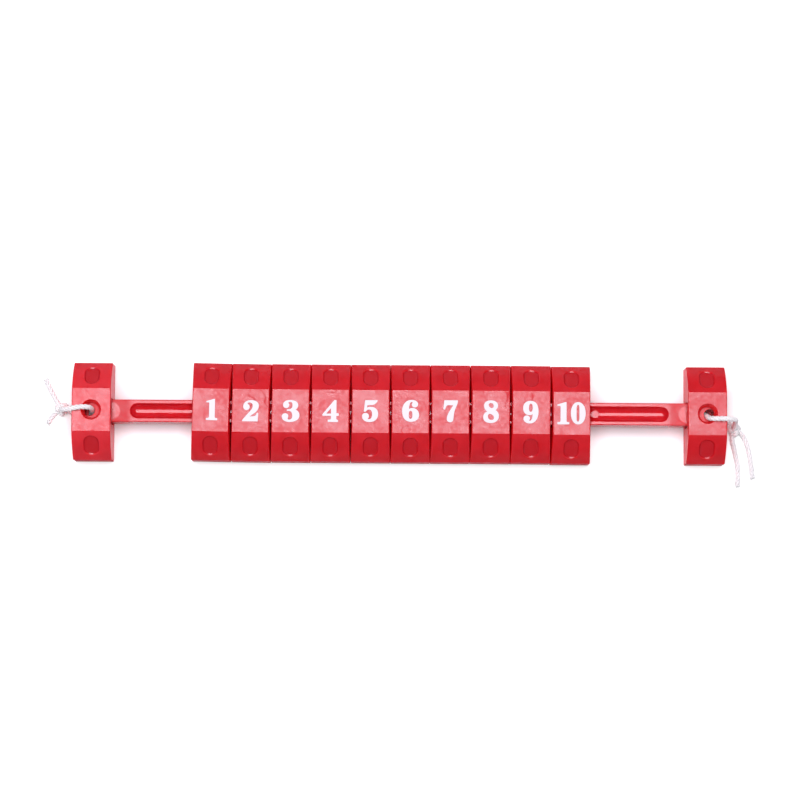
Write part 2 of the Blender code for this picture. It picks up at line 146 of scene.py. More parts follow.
# Numerals: drawn on a grid 100 high, as closed outlines of straight and curved stretches
NUMERAL_HEIGHT = 6.05 * MM
INK_THICKNESS = 0.03 * MM
NUMERAL_GAP = 6
NUMERAL_SHARP_FROM = math.radians(30)
GRID_HEIGHT = 100
GLYPHS = {
    "0": (66, [
        "M 33 100 C 53 100 66 78 66 50 C 66 22 53 0 33 0 C 13 0 0 22 0 50 C 0 78 13 100 33 100",
        "M 32 88 C 27 88 25.5 80 25.5 67 L 25.5 33 C 25.5 20 27 12.5 32 12.5"
        " C 37 12.5 38.5 20 38.5 33 L 38.5 67 C 38.5 80 37 88 32 88",
    ]),
    "1": (54, [
        "M 37 100 C 40 100 41 99 41 96 L 41 17 C 41 13 42 11 46 10.5 L 50 10"
        " C 55.5 9 55.5 0 50 0 L 4 0 C -1.5 0 -1.5 9 4 10 L 9 10.5 C 13 11 14.5 13 14.5 17"
        " L 14.5 77 C 14.5 81 13 82.5 9 82.5 L 4 82.5 C -1 82.5 -1.5 87.5 3 89 L 30 98 Z",
    ]),
    "2": (77, [
        "M 42 100 C 20 100 3.5 88 3.5 70 C 3.5 60 10 53 19.5 53 C 28.5 53 34.5 59.5 34.5 67.5"
        " C 34.5 75 30 77.5 26.5 80.5 C 23.5 83 23.5 86 27 87.5 C 29 88.7 31.5 89.3 34 89"
        " C 43 88 48.5 82 48.5 73 C 48.5 64 44 57 36 47.5 L 3 9 C 0.5 6 -0.5 3.5 0 1 L 1 0"
        " L 70 0 C 72 0 73 1 73.2 3 L 75 36 C 75 40 68 40.5 67 37.5 C 65 28 60 24 51 24"
        " L 34 22 C 46 32 57 38 64 45 C 72 53 77 62 77 74 C 77 90 63 100 42 100",
    ]),
    "3": (80, [
        "M 37.5 100 C 18 100 5 91 5 77.5 C 5 69.5 11 63.5 19 63.5 C 27.5 63.5 33.5 69 33.5 77"
        " C 33.5 82 30.5 84 29.5 86 C 28 89.5 31.5 91.5 37 91.5 C 44.5 91.5 48 86.5 48 77"
        " C 48 66 43.5 60 34.5 58 L 26 57.5 C 20.5 57 20.5 51 26 50.5 L 33 50.5"
        " C 43 49.5 47.5 41 47.5 28 C 47.5 17 42 10.5 33.5 10.5 C 27.5 10.5 25.5 14 27 18"
        " C 28 21 29.5 22.5 29.5 27 C 29.5 34.5 23 39.5 15 39.5 C 6.5 39.5 0 33.5 0 25"
        " C 0 10 14.5 0 35.5 0 C 61 0 80 12 80 30 C 80 44 73.5 51.5 62 56.5"
        " C 70 61 74 67.5 74 77.5 C 74 91.5 60 100 37.5 100",
    ]),
    "4": (75, [
        "M 57 100 L 61 100 C 63 100 64 99 64 97 L 64 40 L 72 40 C 76.5 40 76.5 28 72 28"
        " L 64 28 L 64 17 C 64 12.5 65 11 68.5 10.5 C 74 9.5 73.5 0 68.5 0 L 29 0"
        " C 23.5 0 23.5 9.5 29 10.5 L 33 11 C 38 11.5 39.5 13 39.5 17 L 39.5 28 L 4 28"
        " C 0.5 28 -1 32 1 35 L 52 97 C 53.5 99 55 100 57 100",
        "M 39.5 63 L 18 38 L 39.5 38 Z",
    ]),
    "5": (73, [
        "M 17 100 L 67 100 C 70.5 100 71 98 69.5 95 C 64 84 55 79 43 78 C 36 77.5 30 77 24.5 77"
        " L 22 66 C 28 68.5 33 69.5 39 69.5 C 60 69.5 73 57 73 38 C 73 15 57.5 0 34.5 0"
        " C 14 0 0 10.5 0 26.5 C 0 35.5 6.5 41.5 15.5 41.5 C 25 41.5 31.5 35.5 31.5 27"
        " C 31.5 22 29 19.5 27.5 18 C 25 15.5 26.5 13 31 13 C 40 13 45.5 21 45.5 35"
        " C 45.5 49 41 57 31.5 57 C 26 57 22.5 55 18.5 49.5 C 15.5 45.5 7 46 8 51 L 13.5 97"
        " C 13.8 99 15 100 17 100",
    ]),
    "6": (77, [
        "M 43 100 C 18 100 0 79 0 49 C 0 19 15.5 0 39.5 0 C 61.5 0 77 12.5 77 31.5"
        " C 77 50 63.5 63 47 63 C 40 63 35.5 61.5 31 58.5 C 31.5 76 35.5 90.5 44.5 90.5"
        " C 48 90.5 48 87.5 46 85.5 C 44.5 83.5 43.5 81.5 43.5 79 C 43.5 71.5 49.5 66 57.5 66"
        " C 66 66 72.5 72 72.5 80.5 C 72.5 92 60.5 100 43 100",
        "M 38.5 50.5 C 44.5 50.5 47 43 47 32 C 47 20.5 44.5 13.5 38.5 13.5"
        " C 32.5 13.5 30 20.5 30 32 C 30 43 32.5 50.5 38.5 50.5",
    ]),
    "7": (66, [
        "M 7 100 L 62 100 C 65.5 100 66.5 98.5 66 94.5 C 65 84 60.5 75 56.5 66"
        " C 51.5 54.5 49 44 47.5 30 L 45.5 12 C 44.5 4 38.5 0 31 0 C 22.5 0 15.5 6 16 16"
        " C 16.7 29.5 23 42 31.5 55 L 45 77.5 L 25 77.5 C 18 77.5 14 74.5 11.5 67.5 L 9 60.5"
        " C 7 55.5 0 57.5 0.2 62.5 L 4.2 97 C 4.5 99 5.5 100 7 100",
    ]),
    "8": (69, [
        "M 34 100 C 15 100 3.5 91 3.5 76 C 3.5 64.5 9 57 17.5 50.5 C 6 45 0 37 0 25.5"
        " C 0 10 12 0 32.5 0 C 55 0 69 12.5 69 31 C 69 43.5 63.5 51.5 54 57.5"
        " C 61.5 62.5 65 69.5 65 78 C 65 91.5 53 100 34 100",
        "M 33 88.5 C 40 88.5 46 83 46 75.5 C 46 69.5 43 65.5 38 66 C 30 67 23.5 72.5 23.5 80"
        " C 23.5 85.5 27.5 88.5 33 88.5",
        "M 30.5 41 C 39.5 37.5 47.5 32.5 47.5 23.5 C 47.5 17 43 13 36.5 13"
        " C 27.5 13 20.5 20.5 20.5 29.5 C 20.5 35 24 41 30.5 41",
    ]),
    "9": (68, [
        "M 33.5 100 C 13.5 100 0 87.5 0 67.5 C 0 49 12 36.5 28 36.5 C 34.5 36.5 38.5 38 42 41.5"
        " C 41.5 24.5 38.5 11.5 29 11.5 C 26 11.5 26 14 28 16 C 29.5 17.5 30.5 19.5 30.5 22.5"
        " C 30.5 29.5 24.5 35 16.5 35 C 8.5 35 2 29.5 2 21 C 2 8.5 13.5 0 30.5 0"
        " C 53.5 0 68 21.5 68 54 C 68 82.5 55 100 33.5 100",
        "M 34 87.5 C 39.5 87.5 42.5 81 42.5 69 C 42.5 57 39.5 51 34 51"
        " C 28.5 51 25.5 57 25.5 69 C 25.5 81 28.5 87.5 34 87.5",
    ]),
}
# How far each printed numeral sits off the middle of its face, across and up, in millimetres
PRINT_SHIFTS = {
    1: (0.35, 0.12), 2: (0.04, -0.04), 3: (0.08, -0.05), 4: (0.04, 0.03), 5: (-0.14, 0.07),
    6: (0.0, 0.22), 7: (-0.02, 0.19), 8: (0.0, 0.14), 9: (-0.2, 0.1), 10: (-0.09, 0.03),
}
NUMERAL_SCALES = {1: 0.975, 2: 0.965, 8: 1.03, 9: 1.03, 10: 1.02}


# --- camera, light and floor --------------------------------------------------------------------

SENSOR_WIDTH = 36.0
FOCAL_LENGTH = 133.56
CAMERA_AT = (-0.0052, -0.0700, 0.8250)
CAMERA_TURN = (0.0899, -0.0071, 0.0064)
NEAREST_SEEN, FARTHEST_SEEN = 0.01, 20.0

SOFTBOX_AT = (-0.1, 0.13, 1.5)
SOFTBOX_SIZE = (1.15, 0.75)
SOFTBOX_POWER = 28.0
SOFTBOX_TINT = (0.98, 0.91, 1.0)
ROOM_LIGHT = 0.13
ROOM_TINT = (0.98, 0.96, 1.0, 1.0)

TABLE_Z = -0.1 * MM
BACKDROP_Z = -0.02 * MM
FLOOR_SIZE = 6.0
FLOOR_COLOUR = (0.88, 0.88, 0.88, 1)
FLOOR_ROUGH = 0.9
GLOW_TINT = (0.85, 1.0, 0.92, 1)
GLOW_BESIDE_BAR, GLOW_AROUND = 0.10, 0.40


def in_scene(name, data):
    """A new object that holds the data, in the scene."""
    made = bpy.data.objects.new(name, data)
    bpy.context.scene.collection.objects.link(made)
    return made


def add_camera():
    lens = bpy.data.cameras.new("camera")
    lens.sensor_width = SENSOR_WIDTH
    lens.lens = FOCAL_LENGTH
    lens.clip_start = NEAREST_SEEN
    lens.clip_end = FARTHEST_SEEN
    camera = in_scene("camera", lens)
    camera.location = CAMERA_AT
    camera.rotation_euler = CAMERA_TURN
    bpy.context.scene.camera = camera


def add_lights():
    """One wide softbox overhead, which the numbered faces mirror, and a dim room."""
    light = bpy.data.lights.new("softbox", "AREA")
    light.shape = "RECTANGLE"
    light.size, light.size_y = SOFTBOX_SIZE
    light.energy = SOFTBOX_POWER
    light.color = SOFTBOX_TINT
    in_scene("softbox", light).location = SOFTBOX_AT
    world = bpy.data.worlds.new("room")
    world.use_nodes = True
    sky = world.node_tree.nodes["Background"]
    sky.inputs["Color"].default_value = ROOM_TINT
    sky.inputs["Strength"].default_value = ROOM_LIGHT
    bpy.context.scene.world = world
    bpy.context.scene.view_settings.view_transform = "Standard"


def floor_material(name):
    graph = Graph(name)
    graph.shade("Base Color", FLOOR_COLOUR)
    graph.shade("Roughness", FLOOR_ROUGH)
    return graph


def add_plane(name, z, material):
    bpy.ops.mesh.primitive_plane_add(size=FLOOR_SIZE, location=(0, 0, z))
    plane = bpy.context.active_object
    plane.name = name
    plane.data.materials.append(material)
    return plane


def add_floor():
    """A white table, and a brighter copy of it that only the camera sees, as a lit backdrop looks.

    The copy glows less right beside the bar, where the bar's shadow lies, and not at all under
    the row of beads.
    """
    table = add_plane("table", TABLE_Z, floor_material("white_table").material)
    table.visible_camera = False

    graph = floor_material("lit_backdrop")
    graph.shade("Emission Color", GLOW_TINT)
    folded = graph.vectors("ABSOLUTE", graph.place())
    along, across = graph.axis(folded, "X"), graph.axis(folded, "Y")
    beside = graph.remap(across, 4 * MM, 9 * MM)
    beyond = graph.remap(along, BLOCK_HIGH.x, BLOCK_HIGH.x + 5 * MM)
    share = graph.numbers("MAXIMUM", beside, beyond)
    glow = graph.remap(share, 0.0, 1.0, GLOW_BESIDE_BAR, GLOW_AROUND)
    past_row = graph.remap(along, ROW_END - 2 * MM, ROW_END - MM)
    past_side = graph.remap(across, HALF_WIDTH - MM, HALF_WIDTH - 0.4 * MM)
    clear = graph.numbers("MAXIMUM", past_row, past_side)
    graph.shade("Emission Strength", graph.numbers("MULTIPLY", glow, clear))
    backdrop = add_plane("backdrop", BACKDROP_Z, graph.material)
    backdrop.visible_diffuse = False
    backdrop.visible_glossy = False
    backdrop.visible_transmission = False
    backdrop.visible_shadow = False


# --- materials ----------------------------------------------------------------------------------


OBJECT_SHIFT = (0.37, 0.53, 0.71)
RANGE_INPUTS = ("From Min", "From Max", "To Min", "To Max")


class Graph:
    """The nodes of one new material, with a method for each kind of node that is used here."""

    def __init__(self, name):
        self.material = bpy.data.materials.new(name)
        self.material.use_nodes = True
        self.tree = self.material.node_tree
        self.shader = self.tree.nodes["Principled BSDF"]

    def put(self, socket, value):
        """Link an output to a socket, or set a plain number, colour or vector on it."""
        if isinstance(value, bpy.types.NodeSocket):
            self.tree.links.new(value, socket)
        else:
            socket.default_value = value

    def shade(self, name, value):
        self.put(self.shader.inputs[name], value)

    def add(self, kind, **values):
        """A new node, with values for some of its named inputs."""
        made = self.tree.nodes.new(kind)
        for name, value in values.items():
            self.put(made.inputs[name], value)
        return made

    def place(self):
        return self.add("ShaderNodeTexCoord").outputs["Object"]

    def own_place(self):
        """Object coordinates, shifted by a different amount for each object."""
        chance = self.add("ShaderNodeObjectInfo").outputs["Random"]
        return self.vectors("MULTIPLY_ADD", chance, OBJECT_SHIFT, self.place())

    def axis(self, vector, letter):
        return self.add("ShaderNodeSeparateXYZ", Vector=vector).outputs[letter]

    def noise(self, vector, scale, detail=2.0, rough=0.5):
        made = self.add("ShaderNodeTexNoise", Vector=vector, Scale=scale, Detail=detail,
                        Roughness=rough)
        return made.outputs["Fac"]

    def remap(self, value, low, high, to_low=0.0, to_high=1.0):
        """A value between low and high, moved to between to_low and to_high and held there."""
        made = self.add("ShaderNodeMapRange", Value=value)
        for name, number in zip(RANGE_INPUTS, (low, high, to_low, to_high)):
            made.inputs[name].default_value = number
        return made.outputs["Result"]

    def operate(self, kind, operation, values):
        made = self.add(kind)
        made.operation = operation
        for socket, value in zip(made.inputs, values):
            self.put(socket, value)
        return made

    def numbers(self, operation, *values):
        return self.operate("ShaderNodeMath", operation, values).outputs["Value"]

    def vectors(self, operation, *values):
        made = self.operate("ShaderNodeVectorMath", operation, values)
        gives_number = operation in ("LENGTH", "DISTANCE")
        return made.outputs["Value" if gives_number else "Vector"]

    def mix(self, factor, low, high):
        """A number between low and high."""
        return self.add("ShaderNodeMix", Factor=factor, A=low, B=high).outputs["Result"]

    def mix_colours(self, factor, low, high):
        """A colour between low and high."""
        made = self.add("ShaderNodeMix")
        made.data_type = "RGBA"
        self.put(made.inputs["Factor"], factor)
        for name, value in (("A", low), ("B", high)):
            self.put(made.inputs[name], (*value, 1) if isinstance(value, tuple) else value)
        return made.outputs["Result"]

    def bump(self, height, strength, distance):
        made = self.add("ShaderNodeBump", Strength=strength, Distance=distance, Height=height)
        self.shade("Normal", made.outputs["Normal"])


RED_DARK = (0.560, 0.0095, 0.0170)
RED_LIGHT = (0.625, 0.0125, 0.0210)
# Painted shade: a darker red for the dimples, where shade falls in the hollows.
RED_HOLLOW_SHADE = (0.53, 0.0110, 0.0190)
# Painted glow: a brighter red for end walls and cord-hole walls, which also makes them scatter
# more.
RED_END_WALL_GLOW = (0.95, 0.0130, 0.0220)
PLASTIC_IOR = 1.43
SCATTER_WEIGHT = 0.6
SCATTER_RADIUS = (1.0, 0.05, 0.05)
SCATTER_SCALE = 2.0 * MM
CLOUD_SCALE, MOTTLE_SCALE, GRAIN_SCALE = 220.0, 1100.0, 3200.0
SCRATCH_SCALE, SCRATCHED_SCALE = 95.0, 160.0
SCRATCH_WIDTH = 0.006
SCRATCH_ROUGH = 0.3
DIMPLE_WALL_ROUGH = 0.20
GRAIN_RELIEF = 0.05 * MM


def red_plastic(name, flat_above, flat_rough, round_rough=0.39, shade_hollows=True, painted_light_tone=(1, 1, 1),
                end_rough=0.36, hole_at=None):
    """Moulded red plastic: flats above a height are worn and cloudy, and the rest is smoother.

    A little light goes through it. Its end walls, and the wall of the cord hole at hole_at, are
    painted a brighter red: a painted glow for the red light that scatters through narrow gaps and
    holes, and the brighter red also scatters more. With shade_hollows the dimples are painted a
    darker red, painted shade in the hollows. Dimple walls are glossy. painted_light_tone scales the
    reds, painted light and shade that makes one copy of the plastic lighter and another deeper.
    """
    graph = Graph(name)
    graph.shade("IOR", PLASTIC_IOR)
    graph.shade("Subsurface Weight", SCATTER_WEIGHT)
    graph.shade("Subsurface Radius", SCATTER_RADIUS)
    graph.shade("Subsurface Scale", SCATTER_SCALE)
    place, own = graph.place(), graph.own_place()
    facing = graph.add("ShaderNodeTexCoord").outputs["Normal"]
    cloud = graph.noise(own, CLOUD_SCALE, 4.0, 0.6)
    mottle = graph.noise(own, MOTTLE_SCALE, 2.0, 0.6)
    grain = graph.noise(own, GRAIN_SCALE, 3.0, 0.6)

    # Masks: 1 on the worn flats, on end walls, in dimples, on dimple floors and on dimple walls
    flat = graph.remap(graph.axis(place, "Z"), flat_above - 0.05 * MM, flat_above)
    end_wall = graph.remap(graph.numbers("ABSOLUTE", graph.axis(facing, "X")), 0.85, 0.98)
    if hole_at is not None:
        hole_wall = graph.numbers("SUBTRACT", near_cord_hole(graph, place, hole_at), flat)
        end_wall = graph.numbers("MAXIMUM", end_wall, hole_wall)
    from_axis = graph.vectors("MULTIPLY_ADD", place, (0, 1, 1), (0, 0, -CENTRE_Z))
    depth = graph.numbers("SUBTRACT", SHOULDER_RADIUS, graph.vectors("LENGTH", from_axis))
    hollow = graph.remap(depth, 0.05 * MM, 0.3 * MM)
    for other in (flat, end_wall):
        hollow = graph.numbers("SUBTRACT", hollow, other)
    hollow = graph.numbers("MAXIMUM", hollow, 0.0)
    floor = graph.remap(depth, 0.36 * MM, 0.48 * MM)
    wall = graph.numbers("MAXIMUM", graph.numbers("SUBTRACT", hollow, floor), 0.0)

    # Painted light and shade: painted_light_tone scales both reds, so one copy of the plastic is
    # lighter and another deeper.
    dark, light = (tuple(a * b for a, b in zip(red, painted_light_tone)) for red in (RED_DARK, RED_LIGHT))
    tint = graph.mix_colours(graph.remap(cloud, 0.35, 0.65), dark, light)
    # Painted shade: the dimples take a darker red, for the shade in the hollows. Steep faces also
    # get a lower specular level.
    if shade_hollows:
        tint = graph.mix_colours(hollow, tint, RED_HOLLOW_SHADE)
        shine = graph.remap(graph.axis(facing, "Z"), 0.5, 0.9, 0.05, 0.5)
        graph.shade("Specular IOR Level", graph.mix(end_wall, shine, 0.5))
    # Painted glow: end walls and cord-hole walls take a brighter red, for red light that scatters
    # into gaps and holes; the brighter red also scatters more.
    graph.shade("Base Color", graph.mix_colours(end_wall, tint, RED_END_WALL_GLOW))

    patchy = graph.mix(graph.remap(cloud, 0.3, 0.7, 0.25, 0.6), cloud, mottle)
    worn = graph.remap(patchy, 0.38, 0.62, *flat_rough)
    worn = graph.numbers("MULTIPLY_ADD", scratches(graph, own), SCRATCH_ROUGH, worn)
    smooth = graph.remap(cloud, 0.3, 0.7, round_rough - 0.03, round_rough + 0.03)
    smooth = graph.mix(wall, smooth, DIMPLE_WALL_ROUGH)
    smooth = graph.mix(end_wall, smooth, end_rough)
    graph.shade("Roughness", graph.mix(flat, smooth, worn))
    graph.bump(graph.numbers("MULTIPLY", grain, graph.mix(flat, 0.25, 1.0)), 0.5, GRAIN_RELIEF)
    return graph


def near_cord_hole(graph, place, hole_at):
    """1 within the rim of a block's cord hole, 0 outside it."""
    level = graph.vectors("MULTIPLY", place, (1, 1, 0))
    away = graph.vectors("DISTANCE", level, (hole_at, 0, 0))
    return graph.remap(away, RIM_RADIUS + 0.05 * MM, RIM_RADIUS + 0.1 * MM, 1.0, 0.0)


def scratches(graph, place):
    """Fine wandering hairlines in a few places: 1 on a line, 0 elsewhere."""
    wander = graph.noise(place, SCRATCH_SCALE, 1.0)
    off = graph.numbers("ABSOLUTE", graph.numbers("SUBTRACT", wander, 0.5))
    some = graph.remap(graph.noise(place, SCRATCHED_SCALE, 1.0), 0.5, 0.58)
    return graph.numbers("MULTIPLY", graph.remap(off, 0.0, SCRATCH_WIDTH, 1.0, 0.0), some)


POLISH_REACH = 60 * MM


def bar_plastic():
    """The bar's plastic: dull past the grooves, except on the ejector marks beside the blocks."""
    graph = red_plastic("bar_plastic", BAR_HIGH.z - 0.15 * MM, (0.16, 0.32), 0.09, shade_hollows=False)
    before = graph.shader.inputs["Roughness"].links[0].from_socket
    place = graph.place()
    folded = graph.vectors("ABSOLUTE", place)
    past = graph.remap(graph.axis(folded, "X"), GROOVE_HALF_LENGTH - MM, GROOVE_HALF_LENGTH + MM)
    away = graph.vectors("DISTANCE", folded, (BLOCK_LOW.x, 0, BAR_HIGH.z))
    dull = graph.remap(away, EJECTOR_RADIUS - 0.1 * MM, EJECTOR_RADIUS, 0.02, 0.26)
    polish = graph.remap(graph.axis(place, "X"), -POLISH_REACH, POLISH_REACH, 0.0, 0.08)
    before = graph.numbers("SUBTRACT", before, polish)
    graph.shade("Roughness", graph.numbers("MULTIPLY_ADD", past, dull, before))
    return graph.material


INK_DARK, INK_LIGHT = (0.69, 0.69, 0.69), (0.76, 0.75, 0.75)
COVER_SCALE, INK_GRAIN_SCALE = 700.0, 4000.0
INK_RELIEF = 0.02 * MM


def white_ink():
    """Opaque print, a little uneven in cover and gloss."""
    graph = Graph("number_print")
    place = graph.own_place()
    cover = graph.noise(place, COVER_SCALE, 3.0, 0.6)
    tint = graph.mix_colours(graph.remap(cover, 0.35, 0.65), INK_DARK, INK_LIGHT)
    graph.shade("Base Color", tint)
    graph.shade("Roughness", graph.remap(cover, 0.3, 0.7, 0.36, 0.54))
    graph.bump(graph.noise(place, INK_GRAIN_SCALE), 0.4, INK_RELIEF)
    return graph.material


FIBRE_DARK, FIBRE_LIGHT = (0.93, 0.97, 0.92), (0.98, 1.0, 0.965)
FIBRE_SCALE, STAIN_SCALE = 9000.0, 300.0
FIBRE_RELIEF = 0.08 * MM


def white_cord():
    """Bleached cotton: fine pale fibres that pass a little light."""
    graph = Graph("cord_fibre")
    graph.shade("Roughness", 0.8)
    graph.shade("Sheen Weight", 0.3)
    graph.shade("Sheen Roughness", 0.5)
    graph.shade("Subsurface Weight", 0.5)
    graph.shade("Subsurface Radius", (1.0, 1.0, 1.0))
    graph.shade("Subsurface Scale", 0.8 * MM)
    place = graph.own_place()
    fibre = graph.noise(place, FIBRE_SCALE, 4.0, 0.7)
    stain = graph.noise(place, STAIN_SCALE)
    pale = graph.remap(graph.mix(stain, fibre, stain), 0.3, 0.7)
    graph.shade("Base Color", graph.mix_colours(pale, FIBRE_DARK, FIBRE_LIGHT))
    graph.bump(fibre, 0.9, FIBRE_RELIEF)
    return graph.material


# --- mesh helpers -------------------------------------------------------------------------------


MERGE_DISTANCE = 0.001 * MM


def as_object(name, body, material):
    """A smooth-shaded object from a bmesh, with its normals out."""
    bmesh.ops.remove_doubles(body, verts=body.verts, dist=MERGE_DISTANCE)
    bmesh.ops.recalc_face_normals(body, faces=body.faces)
    mesh = bpy.data.meshes.new(name)
    body.to_mesh(mesh)
    body.free()
    mesh.shade_smooth()
    if material:
        mesh.materials.append(material)
    return in_scene(name, mesh)


def add_rows(body, rows, wrap=False):
    """Quads between neighbouring rows of equally many points."""
    made = [[body.verts.new(p) for p in row] for row in rows]
    for a, b in zip(made, made[1:]):
        count = len(a)
        for i in range(count if wrap else count - 1):
            j = (i + 1) % count
            body.faces.new((a[i], a[j], b[j], b[i]))
    return made


def rounded(points, radius, steps=4):
    """A line through points with each inner corner replaced by a curve that starts radius away."""
    out = [Vector(points[0])]
    for a, b, c in zip(points, points[1:], points[2:]):
        a, b, c = Vector(a), Vector(b), Vector(c)
        start = b + (a - b).normalized() * min(radius, (a - b).length / 2)
        end = b + (c - b).normalized() * min(radius, (c - b).length / 2)
        for k in range(steps + 1):
            t = k / steps
            out.append(start * (1 - t) ** 2 + b * 2 * t * (1 - t) + end * t**2)
    return out + [Vector(points[-1])]


def add_tube(body, rings):
    """A closed solid through rings of equally many points, capped at both ends."""
    made = add_rows(body, rings, wrap=True)
    body.faces.new(made[0])
    body.faces.new(made[-1])


def loft(name, rings, material=None):
    body = bmesh.new()
    add_tube(body, rings)
    return as_object(name, body, material)


def lathe(name, profile, x, sides=48):
    """A closed solid from (radius, z) points, low to high, turned about the vertical line at x."""
    turns = [2 * math.pi * k / sides for k in range(sides)]
    rings = [[(x + r * math.cos(t), r * math.sin(t), z) for t in turns] for r, z in profile]
    return loft(name, rings)


def applied_mesh(thing):
    """A copy of an object's mesh with its modifiers applied."""
    bpy.context.view_layer.update()
    shown = thing.evaluated_get(bpy.context.evaluated_depsgraph_get())
    return bpy.data.meshes.new_from_object(shown)


def carve(target, cutters, operation="DIFFERENCE"):
    """Apply Boolean cuts to the target's mesh, and delete the cutters."""
    for cutter in cutters:
        cut = target.modifiers.new(cutter.name, "BOOLEAN")
        cut.operation = operation
        cut.object = cutter
        cut.solver = "EXACT"
    mesh = applied_mesh(target)
    target.modifiers.clear()
    old = target.data
    target.data = mesh
    mesh.name = old.name
    bpy.data.meshes.remove(old)
    for cutter in cutters:
        bpy.data.objects.remove(cutter, do_unlink=True)


SHARP_FROM = math.radians(50)
FLAT_FACE_WEIGHT = 60


def weigh_normals(target):
    """Large flat faces keep flat shading next to their rounded edges."""
    target.data.shade_smooth()
    target.data.set_sharp_from_angle(angle=SHARP_FROM)
    weighted = target.modifiers.new("weighted", "WEIGHTED_NORMAL")
    weighted.mode = "FACE_AREA"
    weighted.weight = FLAT_FACE_WEIGHT
    weighted.keep_sharp = True


# --- blocks and beads ---------------------------------------------------------------------------


def arc(centre, radius, start, end, steps):
    """(y, z, normal y, normal z) along an arc, with angles from +Y."""
    out = []
    for k in range(steps + 1):
        t = start + (end - start) * k / steps
        y, z = math.cos(t), math.sin(t)
        out.append((centre[0] + radius * y, centre[1] + radius * z, y, z))
    return out


CREASE_Y = HALF_WIDTH - CREASE_ROUND
WALL_Z = CENTRE_Z + math.sqrt((SHOULDER_RADIUS - CREASE_ROUND) ** 2 - CREASE_Y**2)
WALL_ANGLE = math.atan2(WALL_Z - CENTRE_Z, CREASE_Y)
FACE_EDGE_Y = math.sqrt((SHOULDER_RADIUS - FACE_ROUND) ** 2 - (HEIGHT - FACE_ROUND - CENTRE_Z) ** 2)
FACE_ANGLE = math.atan2(HEIGHT - FACE_ROUND - CENTRE_Z, FACE_EDGE_Y)
SHOULDER_FIRST = FOOT_STEPS + 1 + CREASE_STEPS
SHOULDER_LAST = SHOULDER_FIRST + SHOULDER_STEPS


def outline(low):
    """The closed outline across the bar: up the +Y side, over the face and down the -Y side."""
    foot = (HALF_WIDTH - FOOT_ROUND, low + FOOT_ROUND)
    right = arc(foot, FOOT_ROUND, -math.pi / 2, 0, FOOT_STEPS)
    right += arc((CREASE_Y, WALL_Z), CREASE_ROUND, 0, WALL_ANGLE, CREASE_STEPS)
    right += arc((0, CENTRE_Z), SHOULDER_RADIUS, WALL_ANGLE, FACE_ANGLE, SHOULDER_STEPS)[1:]
    centre = (FACE_EDGE_Y, HEIGHT - FACE_ROUND)
    right += arc(centre, FACE_ROUND, FACE_ANGLE, math.pi / 2, FACE_STEPS)[1:]
    return right + [(-y, z, -ny, nz) for y, z, ny, nz in reversed(right)]


def half_length(z, base, face):
    """Half the length along X at height z, for a body that is drafted above its walls."""
    share = max(0.0, (z - WALL_Z) / (HEIGHT - WALL_Z))
    return base + (face - base) * share


def to_stadium(a, b, length, width):
    """How far a ray from the middle of a slot outline, in direction (a, b), runs to reach it."""
    reach, radius = (length - width) / 2, width / 2
    if abs(b) > 0 and abs(a) * radius / abs(b) <= reach:
        return radius / abs(b)
    a = abs(a)
    return reach * a + math.sqrt(max(0.0, (reach * a) ** 2 - reach**2 + radius**2))


def dimple_wall():
    """(offset from the rim, height) down a dimple's wall, rounded at the rim and at the floor."""
    slope = 1 / (1 - DIMPLE_TURN)
    out = [(DIMPLE_LEVEL_OUT, 0.0)]
    for k in range(DIMPLE_WALL_STEPS + 1):
        share = k / DIMPLE_WALL_STEPS
        if share < DIMPLE_TURN:
            drop = slope * share**2 / (2 * DIMPLE_TURN)
        elif share < 1 - DIMPLE_TURN:
            drop = slope * (share - DIMPLE_TURN / 2)
        else:
            drop = 1 - slope * (1 - share) ** 2 / (2 * DIMPLE_TURN)
        out.append((DIMPLE_RIM_OUT - DIMPLE_WALL_WIDTH * share, -DIMPLE_DEPTH * drop))
    return [Vector(p) for p in out]


DIMPLE_WALL = dimple_wall()


